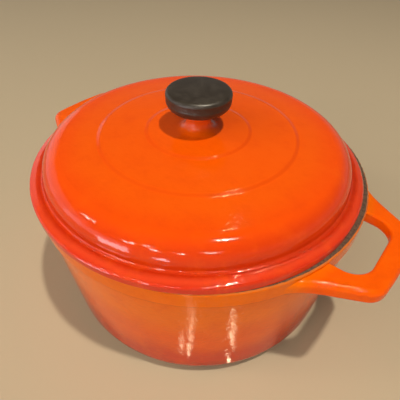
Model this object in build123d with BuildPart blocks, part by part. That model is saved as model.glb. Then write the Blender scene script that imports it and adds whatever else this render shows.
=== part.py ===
import os
from math import cos, radians, sin, sqrt, tan

from build123d import *

# Round covered pot. The base stands on z = 0, the pot's axis is +Z, the handles lie along X. Sizes in mm.

# Pot casting
pot_height = 132.0
band_radius = 136.4
band_height = 13.6
band_step = 1.6
band_step_round = 0.5
rim_width = 8.0
rim_depth = 10.0
rim_round = 1.2
wall_thickness = 4.6
wall_draft = 4.8
floor_thickness = 5.2
base_corner = 18.0

# Loop handles, one casting with the pot
handle_reach = 34.6
handle_drop = 3.4
handle_thickness = 12.6
handle_end_half = 34.0
handle_end_bow = 2.4
handle_side_angle = 28.0
handle_corner = 15.0
handle_round = 4.2
grip_width = 15.0
finger_half_length = 31.0
finger_corner = 16.0
finger_top_round = 2.2
finger_foot_round = 7.0
root_flare = 70.0
root_sink = 0.8
root_spread = 45.0
edge_slack = 0.1

# Lid casting. Heights are above the pot's rim. Insets step inwards: band, lid's edge, crest, groove, shoulder.
lid_inset = 2.4
lid_wall = 4.0
lid_crown = 32.4
dome_radius = 1500.0
ring_radii = (41.3, 78.7)
ring_step = 0.8
ring_half_ramp = 1.6
ring_round = 5.0
shoulder_inset = 2.1
shoulder_round = 17.0
groove_inset = 4.0
groove_height = 7.4
groove_round = 1.8
crest_inset = 6.0
crest_height = 8.6
crest_round = 4.0
flange_height = 6.4
flange_round = 2.2
flange_foot_round = 0.8
rib_depth = 4.5
rib_width = 3.0
boss_height = 15.4
boss_top_radius = 8.2
boss_foot_radius = 10.6
boss_flare = 8.0
boss_edge = 0.8
pad_radius = 12.0
pad_height = 0.8

# Where the lid rests within its play, as an offset of its axis from the pot's
lid_play = 4.6
lid_rest_angle = 248.0
play_margin = 0.4

# Knob and the fixings that hold it
knob_radius = 25.4
knob_height = 17.0
knob_disc = 14.0
knob_crown = 0.8
knob_taper = 2.6
knob_neck_radius = 9.4
knob_neck_height = 1.0
knob_top_round = 2.6
knob_foot_round = 6.0
knob_neck_round = 0.8
insert_radius = 4.8
insert_length = 12.0
insert_gap = 0.15
screw_radius = 3.0
screw_gap = 0.3
screw_tip_gap = 1.5
screw_point = 0.8
head_radius = 5.8
head_height = 3.4
head_round = 1.6
recess_length = 5.4
recess_width = 1.3
recess_depth = 1.9
recess_taper = 8.0
washer_radius = 7.5
washer_thickness = 1.2
washer_edge = 0.3

# Derived sizes
slope = tan(radians(wall_draft))
skin = wall_thickness / cos(radians(wall_draft))
seam_height = pot_height - band_height
wall_top_radius = band_radius - band_step
wall_foot_radius = wall_top_radius - seam_height * slope
mouth_radius = band_radius - rim_width
floor_radius = wall_foot_radius + floor_thickness * slope - skin
floor_corner = base_corner - wall_thickness / 2

handle_top = pot_height - handle_drop
handle_end = band_radius + handle_reach
handle_corner_x = handle_end - handle_end_bow
handle_root_x = band_radius - handle_reach / 2
handle_root_half = handle_end_half + (handle_corner_x - handle_root_x) * tan(radians(handle_side_angle))
finger_end = handle_end - grip_width
root_radius = wall_top_radius - skin + root_sink
root_end = band_radius * cos(radians(root_spread))

lid_radius = band_radius - lid_inset
crest_radius = lid_radius - crest_inset
groove_radius = crest_radius - groove_inset
shoulder_radius = groove_radius - shoulder_inset
lid_axis_x = lid_play * cos(radians(lid_rest_angle))
lid_axis_y = lid_play * sin(radians(lid_rest_angle))
rib_outer = mouth_radius - lid_play - play_margin
rib_inner = rib_outer - rib_width
boss_top = lid_crown + boss_height
screw_hole = screw_radius + screw_gap
insert_bore = screw_radius + insert_gap
inner_shoulder_radius = shoulder_radius - lid_wall
inner_shoulder_round = shoulder_round - lid_wall
pad_face = lid_crown - lid_wall - pad_height
head_face = pad_face - washer_thickness
screw_tip = boss_top + insert_length - screw_tip_gap
knob_lip = knob_height - knob_crown
knob_under = knob_height - knob_disc
knob_ball = (knob_radius**2 + knob_crown**2) / (2 * knob_crown)

lid_axis = Axis((lid_axis_x, lid_axis_y, 0), (0, 0, 1))
lid_plane = Plane((lid_axis_x, lid_axis_y, pot_height), x_dir=(1, 0, 0), z_dir=(0, -1, 0))
recess_plane = Plane((lid_axis_x, lid_axis_y, pot_height + head_face - head_height))
knob_plane = Plane((lid_axis_x, lid_axis_y, pot_height + boss_top), x_dir=(1, 0, 0), z_dir=(0, -1, 0))


def dome(radius, steps, depth=0.0):
    """Point on the lid's dome, a number of ring steps down and a wall depth below the outside."""
    ball = dome_radius - depth
    return (radius, lid_crown - depth - steps * ring_step - ball + sqrt(ball**2 - radius**2))


def dome_arc(start, end, steps, depth=0.0):
    """Arc of the dome between two radii."""
    middle = dome((start + end) / 2, steps, depth)
    return ThreePointArc(dome(start, steps, depth), middle, dome(end, steps, depth))


def corner(sketch, point):
    """Vertex of a sketch outline nearest to a point."""
    return sketch.vertices().sort_by_distance((*point, 0))[0]


def bounds_gap(edge):
    """Whether an edge of a handle slab bounds its finger gap."""
    middle = edge.center()
    return abs(middle.X) < finger_end + edge_slack and abs(middle.Y) < finger_half_length + edge_slack


def on_outline(edge):
    """Whether an edge of a handle slab lies on its outer outline."""
    middle = edge.center()
    return sqrt(middle.X**2 + middle.Y**2) > band_radius - 2 * root_sink and not bounds_gap(edge)


# Pot: two handle slabs rooted in the wall first, then the bowl turned around them
rim_inner = (mouth_radius, pot_height)
rim_foot = (mouth_radius, pot_height - rim_depth)
wall_inner = (wall_top_radius - skin, seam_height)
floor_edge = (floor_radius, floor_thickness)
floor_centre = (0, floor_thickness)

with BuildPart() as pot:
    with BuildSketch(Plane.XY.offset(handle_top - handle_thickness)) as plan:
        with BuildLine():
            end_corner = (handle_corner_x, handle_end_half)
            end_mirror = (handle_corner_x, -handle_end_half)
            ThreePointArc(end_mirror, (handle_end, 0), end_corner)
            Polyline(
                end_corner,
                (handle_root_x, handle_root_half),
                (handle_root_x, -handle_root_half),
                end_mirror,
            )
        make_face()
        mirror(about=Plane.YZ)
        Circle(band_radius - root_sink)
        side_vertices = plan.vertices().filter_by(lambda v: abs(v.Y) > handle_end_half / 2)
        fillet(side_vertices.filter_by(lambda v: abs(v.X) > band_radius), handle_corner)
        side_vertices = plan.vertices().filter_by(lambda v: abs(v.Y) > handle_end_half)
        fillet(side_vertices.filter_by(lambda v: abs(v.X) < band_radius), root_flare)
        Rectangle(2 * root_end, 2 * band_radius, mode=Mode.SUBTRACT)
        with BuildSketch(mode=Mode.PRIVATE) as gaps:
            Rectangle(2 * finger_end, 2 * finger_half_length)
            fillet(gaps.vertices(), finger_corner)
        add(gaps.sketch, mode=Mode.SUBTRACT)
        Circle(root_radius, mode=Mode.SUBTRACT)
    extrude(amount=handle_thickness)
    foot_edges, *_, top_edges = pot.edges().group_by(Axis.Z)
    fillet((foot_edges + top_edges).filter_by(on_outline), handle_round)
    foot_edges, *_, top_edges = pot.edges().group_by(Axis.Z)
    fillet(top_edges.filter_by(bounds_gap), finger_top_round)
    fillet(foot_edges.filter_by(bounds_gap), finger_foot_round)

    with BuildSketch(Plane.XZ) as bowl:
        with BuildLine():
            Polyline(
                (0, 0),
                (wall_foot_radius, 0),
                (wall_top_radius, seam_height),
                (band_radius, seam_height),
                (band_radius, pot_height),
                rim_inner,
                rim_foot,
                wall_inner,
                floor_edge,
                floor_centre,
                close=True,
            )
        make_face()
        fillet(corner(bowl, (wall_foot_radius, 0)), base_corner)
        fillet(corner(bowl, floor_edge), floor_corner)
        fillet(corner(bowl, (band_radius, pot_height)), rim_round)
        fillet(corner(bowl, rim_inner), rim_round)
        fillet(corner(bowl, (band_radius, seam_height)), band_step_round)
        fillet(corner(bowl, (wall_top_radius, seam_height)), band_step_round)
    revolve(axis=Axis.Z)
pot.part.label = "pot"

# Lid: one outline from the screw hole over the boss, the ringed dome and the flange, and back underneath
inner_ring, outer_ring = ring_radii
ring_count = len(ring_radii)
shoulder = dome(shoulder_radius, ring_count)
inner_shoulder = dome(inner_shoulder_radius, ring_count, lid_wall)
boss_foot = dome(boss_foot_radius, 0)
flange_edge = (lid_radius, flange_height)
flange_foot = (lid_radius, 0)
rib_foot_outer = (rib_outer, -rib_depth)
rib_foot_inner = (rib_inner, -rib_depth)
ramp_ends = [
    dome(ring + side * ring_half_ramp, steps + (side + 1) // 2)
    for steps, ring in enumerate(ring_radii)
    for side in (-1, 1)
]

with BuildPart() as lid:
    with BuildSketch(lid_plane) as section:
        with BuildLine():
            Polyline((screw_hole, pad_face), (screw_hole, boss_top), (boss_top_radius, boss_top), boss_foot)
            dome_arc(boss_foot_radius, inner_ring - ring_half_ramp, 0)
            Line(ramp_ends[0], ramp_ends[1])
            dome_arc(inner_ring + ring_half_ramp, outer_ring - ring_half_ramp, 1)
            Line(ramp_ends[2], ramp_ends[3])
            dome_arc(outer_ring + ring_half_ramp, shoulder_radius, ring_count)
            Polyline(
                shoulder,
                (groove_radius, groove_height),
                (crest_radius, crest_height),
                flange_edge,
                flange_foot,
                (rib_outer, 0),
                rib_foot_outer,
                rib_foot_inner,
                inner_shoulder,
            )
            dome_arc(inner_shoulder_radius, pad_radius, ring_count, lid_wall)
            pad_root = dome(pad_radius, ring_count, lid_wall)
            Polyline(pad_root, (pad_radius, pad_face), (screw_hole, pad_face))
        make_face()
        fillet(corner(section, (boss_top_radius, boss_top)), boss_edge)
        fillet(corner(section, boss_foot), boss_flare)
        for ramp_end in ramp_ends:
            fillet(corner(section, ramp_end), ring_round)
        fillet(corner(section, shoulder), shoulder_round)
        fillet(corner(section, inner_shoulder), inner_shoulder_round)
        fillet(corner(section, (groove_radius, groove_height)), groove_round)
        fillet(corner(section, (crest_radius, crest_height)), crest_round)
        fillet(corner(section, flange_edge), flange_round)
        fillet(corner(section, flange_foot), flange_foot_round)
        fillet(corner(section, rib_foot_outer), rib_width / 3)
        fillet(corner(section, rib_foot_inner), rib_width / 3)
    revolve(axis=lid_axis)
lid.part.label = "lid"

# Knob: moulded disc with a necked underside and a blind hole for its insert
with BuildPart() as knob:
    with BuildSketch(knob_plane) as section:
        insert_hole = insert_radius + insert_gap
        neck = (knob_neck_radius, knob_neck_height)
        under_edge = (knob_radius - knob_taper, knob_under)
        top_edge = (knob_radius, knob_lip)
        with BuildLine():
            Polyline((0, insert_length), (insert_hole, insert_length), (insert_hole, 0), (knob_neck_radius, 0))
            Polyline((knob_neck_radius, 0), neck, under_edge, top_edge)
            RadiusArc(top_edge, (0, knob_height), -knob_ball)
            Line((0, knob_height), (0, insert_length))
        make_face()
        fillet(corner(section, neck), knob_neck_round)
        fillet(corner(section, under_edge), knob_foot_round)
        fillet(corner(section, top_edge), knob_top_round)
    revolve(axis=lid_axis)
knob.part.label = "knob"

# Threaded sleeve moulded into the knob
with BuildPart() as knob_insert:
    with BuildSketch(Plane((lid_axis_x, lid_axis_y, pot_height + boss_top))):
        Circle(insert_radius)
        Circle(insert_bore, mode=Mode.SUBTRACT)
    extrude(amount=insert_length)
knob_insert.part.label = "knob_insert"

# Screw from inside the lid, up through the boss into the sleeve
with BuildPart() as knob_screw:
    with BuildSketch(lid_plane) as section:
        head_edge = (head_radius, head_face - head_height)
        point_edge = (screw_radius, screw_tip)
        with BuildLine():
            Polyline(
                (0, head_face - head_height),
                head_edge,
                (head_radius, head_face),
                (screw_radius, head_face),
                point_edge,
                (0, screw_tip),
                close=True,
            )
        make_face()
        fillet(corner(section, head_edge), head_round)
        chamfer(corner(section, point_edge), screw_point)
    revolve(axis=lid_axis)
    with BuildSketch(recess_plane):
        Rectangle(recess_length, recess_width)
        Rectangle(recess_width, recess_length)
    extrude(amount=recess_depth, taper=recess_taper, mode=Mode.SUBTRACT)
knob_screw.part.label = "knob_screw"

# Washer between the screw head and the lid's pad
with BuildPart() as knob_washer:
    with BuildSketch(Plane((lid_axis_x, lid_axis_y, pot_height + head_face))):
        Circle(washer_radius)
        Circle(screw_hole, mode=Mode.SUBTRACT)
    extrude(amount=washer_thickness)
    chamfer(knob_washer.edges().filter_by(GeomType.CIRCLE).sort_by(SortBy.RADIUS)[-2:], washer_edge)
knob_washer.part.label = "knob_washer"

os.makedirs("parts", exist_ok=True)
for piece in (pot, lid, knob, knob_insert, knob_screw, knob_washer):
    export_step(piece.part, f"parts/{piece.part.label}.step")
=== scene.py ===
import math

import bmesh
import bpy
from mathutils import Matrix, Vector


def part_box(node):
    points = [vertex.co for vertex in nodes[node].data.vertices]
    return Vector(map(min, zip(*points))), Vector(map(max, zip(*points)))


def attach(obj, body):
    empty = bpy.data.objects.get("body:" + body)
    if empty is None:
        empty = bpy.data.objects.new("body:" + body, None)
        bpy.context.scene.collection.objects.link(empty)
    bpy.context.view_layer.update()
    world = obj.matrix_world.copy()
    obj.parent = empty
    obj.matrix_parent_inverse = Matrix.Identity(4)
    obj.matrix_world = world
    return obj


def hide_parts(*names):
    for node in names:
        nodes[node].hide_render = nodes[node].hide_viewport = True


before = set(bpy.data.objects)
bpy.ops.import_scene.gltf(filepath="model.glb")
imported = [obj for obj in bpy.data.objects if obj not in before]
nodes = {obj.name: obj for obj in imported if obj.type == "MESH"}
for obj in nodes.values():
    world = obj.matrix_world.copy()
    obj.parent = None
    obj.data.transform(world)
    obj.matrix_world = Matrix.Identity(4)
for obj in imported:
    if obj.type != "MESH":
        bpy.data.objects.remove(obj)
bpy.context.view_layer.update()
print("frame loaded:", ", ".join(sorted(nodes)))

mm = 0.001

# measures read from the frame, in metres
potLow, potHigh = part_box("pot")
lidLow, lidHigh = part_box("lid")
knobLow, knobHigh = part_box("knob")
lidCentre = ((lidLow.x + lidHigh.x) / 2, (lidLow.y + lidHigh.y) / 2, 0.0)
bandRadius = (potHigh.y - potLow.y) / 2
lidRadius = (lidHigh.x - lidLow.x) / 2
rimHeight = potHigh.z
potCentre = (0.0, 0.0, 0.0)  # the pot stands on the frame's own axis


# node helpers: an input given as a socket is linked, anything else is set

def addNode(tree, kind, inputs=None, **settings):
    made = tree.nodes.new(kind)
    for key, value in settings.items():
        setattr(made, key, value)
    for key, value in (inputs or {}).items():
        if isinstance(value, bpy.types.NodeSocket):
            tree.links.new(value, made.inputs[key])
        else:
            made.inputs[key].default_value = value
    return made


def doMath(tree, operation, first, second=0.5, third=0.5):
    values = {0: first, 1: second, 2: third}
    return addNode(tree, "ShaderNodeMath", values, operation=operation).outputs[0]


def spread(tree, value, source, target, kind="LINEAR"):
    # carries one span of values over to another
    settings = {"Value": value, "From Min": source[0], "From Max": source[1],
                "To Min": target[0], "To Max": target[1]}
    return addNode(tree, "ShaderNodeMapRange", settings, interpolation_type=kind).outputs["Result"]


def fade(tree, value, low, high):
    # smooth 0 to 1 between two values, which may stand in falling order
    return spread(tree, value, (low, high), (0.0, 1.0), "SMOOTHSTEP")


def addNoise(tree, place, scale, detail=2.0, roughness=0.5, distortion=0.0):
    settings = {"Vector": place, "Scale": scale, "Detail": detail, "Roughness": roughness,
                "Distortion": distortion}
    return addNode(tree, "ShaderNodeTexNoise", settings).outputs["Fac"]


def mixColour(tree, factor, first, second):
    made = addNode(tree, "ShaderNodeMix", data_type="RGBA")
    for key, value in ((0, factor), (6, first), (7, second)):  # a mix node's colours are inputs 6 and 7
        if isinstance(value, bpy.types.NodeSocket):
            tree.links.new(value, made.inputs[key])
        else:
            made.inputs[key].default_value = value if key == 0 else (*value, 1.0)
    return made.outputs[2]


def addRamp(tree, value, stops):
    made = addNode(tree, "ShaderNodeValToRGB", {"Fac": value})
    made.color_ramp.interpolation = "EASE"
    points = made.color_ramp.elements
    while len(points) < len(stops):
        points.new(0.5)
    for point, (place, colour) in zip(points, stops):
        point.position = place
        point.color = (*colour, 1.0)
    return made.outputs["Color"]


def startMaterial(name):
    material = bpy.data.materials.new(name)
    material.use_nodes = True
    tree = material.node_tree
    shader = tree.nodes["Principled BSDF"]
    return material, tree, shader


def placeOn(tree, centre):
    # object coordinates about an upright axis
    coords = addNode(tree, "ShaderNodeTexCoord").outputs["Object"]
    shift = tuple(-value for value in centre)
    return addNode(tree, "ShaderNodeMapping", {"Vector": coords, "Location": shift}).outputs["Vector"]


def measure(tree, place):
    # distance from the axis, and height
    level = {0: place, 1: (1.0, 1.0, 0.0)}
    flat = addNode(tree, "ShaderNodeVectorMath", level, operation="MULTIPLY").outputs[0]
    radius = addNode(tree, "ShaderNodeVectorMath", {0: flat}, operation="LENGTH").outputs["Value"]
    height = addNode(tree, "ShaderNodeSeparateXYZ", {0: place}).outputs["Z"]
    return radius, height


def withinCorner(tree, across, along, corner):
    # 1 inside a rounded corner, whose centre lies where both distances are 0
    first = doMath(tree, "MAXIMUM", across, 0.0)
    second = doMath(tree, "MAXIMUM", along, 0.0)
    sides = addNode(tree, "ShaderNodeCombineXYZ", {"X": first, "Y": second}).outputs[0]
    reach = addNode(tree, "ShaderNodeVectorMath", {0: sides}, operation="LENGTH").outputs["Value"]
    return doMath(tree, "LESS_THAN", reach, corner)


def makeObject(name, shape, material):
    mesh = bpy.data.meshes.new(name)
    shape.to_mesh(mesh)
    shape.free()
    mesh.materials.append(material)
    made = bpy.data.objects.new(name, mesh)
    bpy.context.scene.collection.objects.link(made)
    return made


def dress(node, material):
    slots = nodes[node].data.materials
    if len(slots):
        slots[0] = material
    else:
        slots.append(material)


# enamel: what the pot and the lid share, where a cut is the span of noise that a change runs over

enamel = {
    "roughness": (0.03, 0.09),
    "hazeCut": (0.35, 0.70),
    "peelScale": 340.0,             # orange peel, about 3 mm from crest to crest
    "peelDepth": 0.36 * mm,
    "waveScale": 45.0,              # slow waves of the casting under the glass
    "waveDepth": 0.26 * mm,
    "sprayScale": 22.0,             # drift of the sprayed colour
    "cloudScale": 70.0,             # cloudy tone of the glaze
    "mottle": 0.3,
    "darkCut": (0.45, 0.80),
    "lightCut": (0.55, 0.20),
    "sand": (0.72, 0.64, 0.49),     # light glaze of the inside
    "sandShade": (0.66, 0.57, 0.42),
    "sandCut": (0.35, 0.70),
    "speck": (0.50, 0.41, 0.28),
    "speckScale": 900.0,
    "speckCut": (0.62, 0.72),
    "groundScale": 520.0,           # grain of the bare ground coat
    "groundCut": (0.35, 0.65),
    "groundDull": 0.5,              # added roughness
}


def addGlaze(tree, shader, place, peel):
    # bump and gloss of fired glass: slow waves, orange peel over them, and a slight haze
    waves = addNoise(tree, place, enamel["waveScale"], detail=2.0, roughness=0.4)
    slow = addNode(tree, "ShaderNodeBump", {"Strength": 1.0, "Distance": enamel["waveDepth"],
                                            "Height": waves})
    peels = addNoise(tree, place, enamel["peelScale"], detail=3.0, roughness=0.45, distortion=0.3)
    fine = addNode(tree, "ShaderNodeBump", {"Strength": 1.0, "Distance": enamel["peelDepth"] * peel,
                                            "Height": peels, "Normal": slow.outputs[0]})
    tree.links.new(fine.outputs[0], shader.inputs["Normal"])
    haze = addNoise(tree, place, enamel["cloudScale"], detail=4.0, roughness=0.6)
    return spread(tree, haze, enamel["hazeCut"], enamel["roughness"])


def addSpray(tree, place, value, reach):
    # sprayed colour drifts, so the measure that it follows is shaken to both sides
    drift = addNoise(tree, place, enamel["sprayScale"], detail=4.0, roughness=0.6)
    return doMath(tree, "SUBTRACT", doMath(tree, "MULTIPLY_ADD", drift, reach, value), reach / 2)


def addMottle(tree, colour, place, dark, light):
    # cloudy tone of the colour coat
    cloud = addNoise(tree, place, enamel["cloudScale"], detail=5.0, roughness=0.65)
    darker = doMath(tree, "MULTIPLY", fade(tree, cloud, *enamel["darkCut"]), enamel["mottle"])
    lighter = doMath(tree, "MULTIPLY", fade(tree, cloud, *enamel["lightCut"]), enamel["mottle"])
    return mixColour(tree, lighter, mixColour(tree, darker, colour, dark), light)


def addSand(tree, place):
    # light glaze of the inside, with fine specks
    cloud = addNoise(tree, place, enamel["cloudScale"], detail=3.0, roughness=0.6)
    sand = mixColour(tree, fade(tree, cloud, *enamel["sandCut"]), enamel["sand"], enamel["sandShade"])
    specks = addNoise(tree, place, enamel["speckScale"], detail=1.0)
    return mixColour(tree, fade(tree, specks, *enamel["speckCut"]), sand, enamel["speck"])


def addGround(tree, place, dark, light):
    # dull grainy ground coat, where the colour coats are left off
    grain = addNoise(tree, place, enamel["groundScale"], detail=3.0, roughness=0.7)
    return mixColour(tree, fade(tree, grain, *enamel["groundCut"]), dark, light)


def finishEnamel(tree, shader, colour, gloss, bare, ior):
    rough = doMath(tree, "MULTIPLY_ADD", bare, enamel["groundDull"], gloss)
    tree.links.new(colour, shader.inputs["Base Color"])
    tree.links.new(rough, shader.inputs["Roughness"])
    shader.inputs["IOR"].default_value = ior


# pot: orange above, fading to red at the foot, with painted shade darkening the foot, bare dark rim, sand
# glaze inside

potLook = {
    "heights": (                    # share of the height, and the colour there
        # the stops at the foot are the enamel's red, darkened further as painted shade
        (0.05, (0.24, 0.012, 0.002)),
        (0.22, (0.56, 0.028, 0.002)),
        (0.46, (0.83, 0.100, 0.001)),
        (0.76, (0.91, 0.160, 0.001)),
        (1.00, (0.89, 0.154, 0.001)),
    ),
    "sprayReach": 26.0 * mm,
    "handleOrange": (0.93, 0.106, 0.001),
    "handleBlend": 8.0 * mm,
    "mottleDark": (0.70, 0.060, 0.003),
    "mottleLight": (0.93, 0.170, 0.004),
    "peel": 1.0,
    # painted shade under the band's step
    "seamShadeBrown": (0.40, 0.045, 0.004),
    "seamHeight": 118.4 * mm,
    "seamReach": (0.9 * mm, 0.2 * mm),
    "seamClear": 0.2,               # share of the handle's orange at which the seam ends
    "seamShare": 0.8,
    "groundDark": (0.085, 0.050, 0.030),
    "groundLight": (0.170, 0.098, 0.056),
    "rimDepth": (1.1 * mm, 0.5 * mm),
    "rimInset": 1.5 * mm,
    "rimWander": 0.8 * mm,
    "rimWanderScale": 160.0,
    "rimEdge": (0.66, 0.18, 0.035),
    "rimEdgeShare": 0.8,
    "wallFoot": 124.86 * mm,        # outer radius at the base, before its round corner
    "wallRise": 0.084,              # how much the wall leans out for each unit of height
    "wallMiddle": 2.31 * mm,        # from the outer face to the middle of the wall
    "floorMiddle": 2.6 * mm,
    "baseCorner": 16.85 * mm,
    "ior": 1.28,
}


def makePotFinish():
    look = potLook
    material, tree, shader = startMaterial("potEnamel")
    place = placeOn(tree, potCentre)
    radius, height = measure(tree, place)

    level = doMath(tree, "DIVIDE", addSpray(tree, place, height, look["sprayReach"]), rimHeight)
    colour = addRamp(tree, level, look["heights"])
    onHandle = fade(tree, radius, bandRadius, bandRadius + look["handleBlend"])
    colour = mixColour(tree, onHandle, colour, look["handleOrange"])
    colour = addMottle(tree, colour, place, look["mottleDark"], look["mottleLight"])
    gloss = addGlaze(tree, shader, place, look["peel"])

    # painted shade: a brown line painted in the seam below the band's step, between the handles
    offSeam = doMath(tree, "ABSOLUTE", doMath(tree, "SUBTRACT", height, look["seamHeight"]))
    offHandle = fade(tree, onHandle, look["seamClear"], 0.0)
    inSeamShade = doMath(tree, "MULTIPLY", fade(tree, offSeam, *look["seamReach"]), offHandle)
    colour = mixColour(tree, doMath(tree, "MULTIPLY", inSeamShade, look["seamShare"]), colour, look["seamShadeBrown"])

    # the middle of the shell parts the outside from the sand glaze inside
    corner = look["baseCorner"]
    wallAt = doMath(tree, "MULTIPLY_ADD", height, look["wallRise"],
                    look["wallFoot"] - look["wallMiddle"] - corner)
    below = doMath(tree, "SUBTRACT", look["floorMiddle"] + corner, height)
    isInside = withinCorner(tree, doMath(tree, "SUBTRACT", radius, wallAt), below, corner)
    colour = mixColour(tree, isInside, colour, addSand(tree, place))

    # rim: ground coat on top, worn pale where it turns down to the band
    wander = addNoise(tree, place, look["rimWanderScale"])
    edge = doMath(tree, "MULTIPLY_ADD", wander, look["rimWander"], bandRadius - look["rimInset"])
    start, end = look["rimDepth"]
    onTop = fade(tree, height, rimHeight - start, rimHeight - end)
    isRim = doMath(tree, "MULTIPLY", onTop, doMath(tree, "LESS_THAN", radius, edge))
    atEdge = doMath(tree, "MULTIPLY", onTop, doMath(tree, "GREATER_THAN", radius, edge))
    ground = addGround(tree, place, look["groundDark"], look["groundLight"])
    colour = mixColour(tree, isRim, colour, ground)
    colour = mixColour(tree, doMath(tree, "MULTIPLY", atEdge, look["rimEdgeShare"]), colour, look["rimEdge"])

    finishEnamel(tree, shader, colour, gloss, isRim, look["ior"])
    return material


dress("pot", makePotFinish())
print("pot enamelled")

# lid: orange dome, redder down its shoulder, deep red painted shade in the groove, and a painted pinkish
# reflection on the flange

lidLook = {
    "radii": (                      # share of the radius, and the colour there
        (0.0, (0.93, 0.102, 0.001)),
        (0.66, (0.93, 0.102, 0.001)),
        (0.82, (0.92, 0.080, 0.001)),
        (0.90, (0.75, 0.050, 0.003)),
        # the groove stop: painted shade in the groove
        (0.945, (0.55, 0.028, 0.004)),
        # the flange stop: enamel red with a painted pinkish reflection
        (0.975, (0.76, 0.056, 0.014)),
        (1.0, (0.70, 0.034, 0.008)),
    ),
    "sprayReach": 6.0 * mm,
    "mottleDark": (0.80, 0.060, 0.002),
    "mottleLight": (0.95, 0.120, 0.003),
    "peel": 0.36,
    "rings": (41.3 * mm, 78.7 * mm),
    # painted shade in the ring steps
    "ringShadeRed": (0.70, 0.045, 0.001),
    "ringReach": (2.4 * mm, 0.4 * mm),
    "ringShadeShare": 0.36,
    "groundDark": (0.075, 0.043, 0.026),
    "groundLight": (0.150, 0.085, 0.048),
    "footDepth": 0.35 * mm,
    "footInset": 1.6 * mm,
    "domeBall": 1500.0 * mm,
    "domeMiddle": 28.8 * mm,        # middle of the shell above the rim, at the axis
    "shoulderStart": 105.0 * mm,
    "shoulderCorner": 15.0 * mm,
    "ior": 1.42,
}


def makeLidFinish():
    look = lidLook
    material, tree, shader = startMaterial("lidEnamel")
    place = placeOn(tree, lidCentre)
    radius, height = measure(tree, place)

    level = doMath(tree, "DIVIDE", addSpray(tree, place, radius, look["sprayReach"]), lidRadius)
    colour = addRamp(tree, level, look["radii"])
    colour = addMottle(tree, colour, place, look["mottleDark"], look["mottleLight"])
    for ring in look["rings"]:
        # painted shade: a darker red painted in each ring's step
        offRing = doMath(tree, "ABSOLUTE", doMath(tree, "SUBTRACT", radius, ring))
        ringShade = doMath(tree, "MULTIPLY", fade(tree, offRing, *look["ringReach"]), look["ringShadeShare"])
        colour = mixColour(tree, ringShade, colour, look["ringShadeRed"])
    gloss = addGlaze(tree, shader, place, look["peel"])

    # the middle of the shell parts the outside from the sand glaze inside
    start, corner = look["shoulderStart"], look["shoulderCorner"]
    inner = doMath(tree, "MINIMUM", radius, start)
    fall = doMath(tree, "MULTIPLY", doMath(tree, "MULTIPLY", inner, inner), 0.5 / look["domeBall"])
    above = doMath(tree, "SUBTRACT", doMath(tree, "ADD", height, fall),
                   rimHeight + look["domeMiddle"] - corner)
    isInside = withinCorner(tree, doMath(tree, "SUBTRACT", radius, start), above, corner)
    colour = mixColour(tree, isInside, colour, addSand(tree, place))

    # ground coat on the rib and on the face that rests on the rim
    onFoot = doMath(tree, "LESS_THAN", height, rimHeight + look["footDepth"])
    offEdge = doMath(tree, "LESS_THAN", radius, lidRadius - look["footInset"])
    isFoot = doMath(tree, "MULTIPLY", onFoot, offEdge)
    ground = addGround(tree, place, look["groundDark"], look["groundLight"])
    colour = mixColour(tree, isFoot, colour, ground)

    finishEnamel(tree, shader, colour, gloss, isFoot, look["ior"])
    return material


dress("lid", makeLidFinish())
print("lid enamelled")

# knob: moulded phenolic, satin, with fine turning lines round its side

knobLook = {
    "brown": (0.032, 0.023, 0.015),
    "worn": (0.050, 0.038, 0.027),
    "wornCut": (0.35, 0.75),
    "roughness": (0.32, 0.46),
    "roughCut": (0.3, 0.7),
    "cloudScale": 160.0,
    "grainScale": 1400.0,
    "grainDepth": 0.03 * mm,
    "grainStrength": 0.4,
    "hole": (4.95 * mm, 12.0 * mm),         # radius and depth of the hole for the sleeve
    "foot": 9.4 * mm,
    "neck": 1.0 * mm,
    "underEdge": (24.9 * mm, 2.2 * mm),     # radius, and height above the foot
    "topEdge": (25.3 * mm, 16.2 * mm),
    "crown": ((19.0 * mm, 16.55 * mm), (10.0 * mm, 16.88 * mm)),
    "underRound": 6.4 * mm,
    "topRound": 3.0 * mm,
    "roundSteps": 8,
    "lines": 4,
    "lineDepth": 0.25 * mm,
    "steps": 160,
    "merge": 0.002 * mm,
}


def makeKnobFinish():
    look = knobLook
    material, tree, shader = startMaterial("knobPhenolic")
    place = placeOn(tree, lidCentre)
    cloud = addNoise(tree, place, look["cloudScale"], detail=5.0, roughness=0.65)
    colour = mixColour(tree, fade(tree, cloud, *look["wornCut"]), look["brown"], look["worn"])
    rough = spread(tree, cloud, look["roughCut"], look["roughness"])
    grain = addNoise(tree, place, look["grainScale"])
    bump = addNode(tree, "ShaderNodeBump", {"Strength": look["grainStrength"], "Distance": look["grainDepth"],
                                            "Height": grain})
    tree.links.new(colour, shader.inputs["Base Color"])
    tree.links.new(rough, shader.inputs["Roughness"])
    tree.links.new(bump.outputs[0], shader.inputs["Normal"])
    return material


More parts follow.
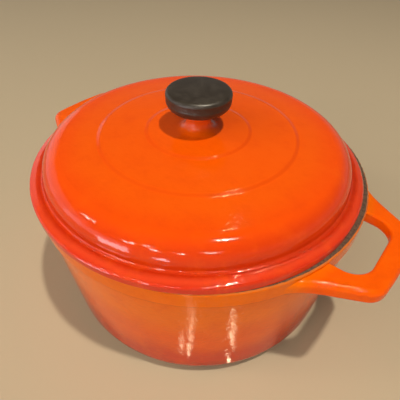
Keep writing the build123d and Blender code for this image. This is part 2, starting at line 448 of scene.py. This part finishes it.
def makeKnob():
    look = knobLook
    shape = bmesh.new()
    topHeight = knobHigh.z - knobLow.z
    hole, depth = look["hole"]
    section = [(0.0, depth), (hole, depth), (hole, 0.0), (look["foot"], 0.0), (look["foot"], look["neck"]),
               look["underEdge"], look["topEdge"], *look["crown"], (0.0, topHeight)]
    points = [shape.verts.new((across, 0.0, up)) for across, up in section]
    for pair in zip(points, points[1:]):
        shape.edges.new(pair)
    underCorner = points[section.index(look["underEdge"])]
    topCorner = points[section.index(look["topEdge"])]
    for corner, turn in ((underCorner, look["underRound"]), (topCorner, look["topRound"])):
        bmesh.ops.bevel(shape, geom=[corner], offset=turn, affect="VERTICES", segments=look["roundSteps"],
                        profile=0.5, material=-1, offset_type="OFFSET", clamp_overlap=False)

    # turning lines: the side, the tallest edge past the foot, is cut up, and every second cut is pushed in
    pastFoot = [edge for edge in shape.edges if edge.verts[0].co.x > look["foot"]]
    side = max(pastFoot, key=lambda edge: abs(edge.verts[0].co.z - edge.verts[1].co.z))
    cuts = bmesh.ops.subdivide_edges(shape, edges=[side], cuts=2 * look["lines"] + 1)
    fresh = [item for item in cuts["geom_inner"] if isinstance(item, bmesh.types.BMVert)]
    fresh.sort(key=lambda point: point.co.z)
    for point in fresh[1::2]:
        point.co.x -= look["lineDepth"]

    bmesh.ops.spin(shape, geom=shape.verts[:] + shape.edges[:], cent=(0, 0, 0), axis=(0, 0, 1),
                   angle=2 * math.pi, steps=look["steps"], use_merge=True)
    bmesh.ops.remove_doubles(shape, verts=shape.verts, dist=look["merge"])
    bmesh.ops.recalc_face_normals(shape, faces=shape.faces)
    bmesh.ops.translate(shape, verts=shape.verts, vec=(lidCentre[0], lidCentre[1], knobLow.z))
    for face in shape.faces:
        face.smooth = True
    knob = makeObject("knobTurned", shape, makeKnobFinish())
    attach(knob, "lid")
    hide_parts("knob")


makeKnob()
print("knob turned")

# fixings: brass sleeve, steel screw and washer

metalLook = {
    "insertBrass": ((0.70, 0.48, 0.20), (0.52, 0.34, 0.14), (0.25, 0.45)),  # bright, dull, roughness
    "fixingSteel": ((0.62, 0.61, 0.59), (0.45, 0.44, 0.42), (0.22, 0.42)),
    "cloudScale": 600.0,
    "toneCut": (0.35, 0.7),
    "roughCut": (0.3, 0.7),
}


def makeMetalFinish(name):
    look = metalLook
    bright, dull, roughness = look[name]
    material, tree, shader = startMaterial(name)
    place = placeOn(tree, lidCentre)
    cloud = addNoise(tree, place, look["cloudScale"], detail=4.0, roughness=0.6)
    tone = mixColour(tree, fade(tree, cloud, *look["toneCut"]), bright, dull)
    rough = spread(tree, cloud, look["roughCut"], roughness)
    tree.links.new(tone, shader.inputs["Base Color"])
    tree.links.new(rough, shader.inputs["Roughness"])
    shader.inputs["Metallic"].default_value = 1.0
    return material


dress("knob_insert", makeMetalFinish("insertBrass"))
steel = makeMetalFinish("fixingSteel")
dress("knob_screw", steel)
dress("knob_washer", steel)
print("fixings finished")

# floor

floorLook = {"radius": 4.0, "steps": 96, "colour": (0.52, 0.41, 0.26, 1.0), "roughness": 0.85, "shine": 0.2}


def makeFloor():
    material, tree, shader = startMaterial("paleFloor")
    shader.inputs["Base Color"].default_value = floorLook["colour"]
    shader.inputs["Roughness"].default_value = floorLook["roughness"]
    shader.inputs["Specular IOR Level"].default_value = floorLook["shine"]
    shape = bmesh.new()
    bmesh.ops.create_circle(shape, cap_ends=True, segments=floorLook["steps"], radius=floorLook["radius"])
    floor = makeObject("floor", shape, material)


makeFloor()
print("floor laid")

# lamps: compass angle from +X, height angle, distance, size, watts, colour, and what shows them

aim = Vector((0.0, 0.0, 0.12))
lamps = {
    "overhead": (-8, 73, 2.4, (0.10, 0.10), 33.5, (1.0, 0.95, 0.88), "all"),
    "overheadGlint": (-8, 73, 2.4, (0.10, 0.10), 32.0, (1.0, 0.84, 0.52), "gloss"),
    "roomLampLeft": (-133, 36, 2.0, (0.20, 0.12), 3.2, (1.0, 0.92, 0.80), "all"),
    "roomLampFront": (-96, 25, 2.0, (0.16, 0.10), 2.4, (1.0, 0.92, 0.80), "all"),
    "roomLampSecond": (-83, 33, 2.0, (0.16, 0.10), 2.4, (1.0, 0.92, 0.80), "gloss"),
    "roomLampThird": (-78, 23, 2.0, (0.16, 0.10), 2.4, (1.0, 0.92, 0.80), "gloss"),
    "roomLampFourth": (-60, 24, 2.0, (0.16, 0.10), 2.4, (1.0, 0.92, 0.80), "gloss"),
    "roomLampRight": (-42, 29, 2.0, (0.26, 0.10), 3.4, (1.0, 0.92, 0.80), "all"),
    "lowCardLeft": (-98, -2, 0.6, (0.20, 0.16), 0.80, (0.93, 0.95, 1.0), "gloss"),
    "lowCardRight": (-70, -7, 0.6, (0.08, 0.07), 0.22, (0.95, 0.96, 1.0), "gloss"),
    "sideCard": (-163, 13, 1.4, (2.2, 0.75), 2.7, (0.92, 0.94, 1.0), "gloss"),
    "lowCardWide": (-116, 6, 1.3, (1.2, 0.34), 1.3, (0.90, 0.94, 1.0), "gloss"),
    "backLamp": (111, 64, 2.0, (0.05, 0.05), 1.5, (1.0, 0.82, 0.45), "gloss"),
    "backLampLow": (113, 58, 2.0, (0.05, 0.05), 0.35, (1.0, 0.78, 0.36), "gloss"),
    "softFill": (-94, 40, 4.0, (6.5, 4.0), 110.0, (1.0, 0.98, 0.95), "matt"),
}


def startLamp(name, size, watts, colour):
    lamp = bpy.data.lights.new(name, "AREA")
    lamp.shape = "ELLIPSE" if size[0] == size[1] else "RECTANGLE"
    lamp.size, lamp.size_y = size
    lamp.energy = watts
    lamp.color = colour
    holder = bpy.data.objects.new(name, lamp)
    holder.visible_camera = False
    bpy.context.scene.collection.objects.link(holder)
    return holder


def makeLamp(name, compass, rise, distance, size, watts, colour, shownBy):
    holder = startLamp(name, size, watts, colour)
    turn, lift = math.radians(compass), math.radians(rise)
    away = Vector((math.cos(turn) * math.cos(lift), math.sin(turn) * math.cos(lift), math.sin(lift)))
    holder.location = aim + away * distance
    holder.rotation_euler = (-away).to_track_quat("-Z", "Y").to_euler()
    holder.visible_glossy = shownBy != "matt"
    holder.visible_diffuse = shownBy != "gloss"


for name, settings in lamps.items():
    makeLamp(name, *settings)

# strips just above the floor, which the wall mirrors as upright streaks: ends and width in mm, and watts

stripLook = {"colour": (1.0, 0.84, 0.52), "height": 2.0 * mm}
strips = {
    "stripNear": ((77, -113), (95, -133), 1.5, 0.0018),
    "stripFar": ((95, -133), (118, -174), 1.2, 0.0024),
    "stripRight": ((115, -85), (140, -100), 3.0, 0.0026),
    "stripLow": ((74, -121), (77, -128), 2.0, 0.0005),
    "stripFoot": ((101, -80), (104, -84), 3.0, 0.0005),
}


def makeStrip(name, start, end, width, watts):
    first, second = Vector(start) * mm, Vector(end) * mm
    along = second - first
    middle = (first + second) / 2
    holder = startLamp(name, (along.length, width * mm), watts, stripLook["colour"])
    holder.location = (middle.x, middle.y, stripLook["height"])
    holder.rotation_euler = (math.pi, 0.0, math.atan2(along.y, along.x))  # facing up


for name, settings in strips.items():
    makeStrip(name, *settings)

# world: a glow at the horizon, weaker above

worldLook = {"colour": (1.0, 0.98, 0.95, 1.0), "rise": (0.0, 0.50), "strength": (0.30, 0.07)}


def makeWorld():
    world = bpy.data.worlds.new("room")
    world.use_nodes = True
    bpy.context.scene.world = world
    tree = world.node_tree
    sky = tree.nodes["Background"]
    sky.inputs["Color"].default_value = worldLook["colour"]
    toward = addNode(tree, "ShaderNodeTexCoord").outputs["Generated"]
    rise = addNode(tree, "ShaderNodeSeparateXYZ", {0: toward}).outputs["Z"]
    glow = spread(tree, rise, worldLook["rise"], worldLook["strength"], "SMOOTHSTEP")
    tree.links.new(glow, sky.inputs["Strength"])


makeWorld()
print("lamps hung")

# camera, where the photograph was taken from

shot = {
    "place": (158.88 * mm, -203.14 * mm, 317.37 * mm),
    "pan": -38.29,
    "tilt": -42.15,
    "roll": 1.48,
    "lens": 33.02,
    "sensor": 36.0,
    "nearest": 10.0 * mm,
}


def makeCamera():
    data = bpy.data.cameras.new("camera")
    data.lens = shot["lens"]
    data.sensor_width = shot["sensor"]
    data.clip_start = shot["nearest"]
    camera = bpy.data.objects.new("camera", data)
    turn = Matrix.Rotation(math.radians(-shot["pan"]), 4, "Z")
    nod = Matrix.Rotation(math.radians(90 + shot["tilt"]), 4, "X")
    lean = Matrix.Rotation(math.radians(shot["roll"]), 4, "Z")
    camera.matrix_world = Matrix.Translation(shot["place"]) @ turn @ nod @ lean
    bpy.context.scene.collection.objects.link(camera)
    bpy.context.scene.camera = camera


makeCamera()
bpy.context.scene.view_settings.view_transform = "Standard"
print("camera set")
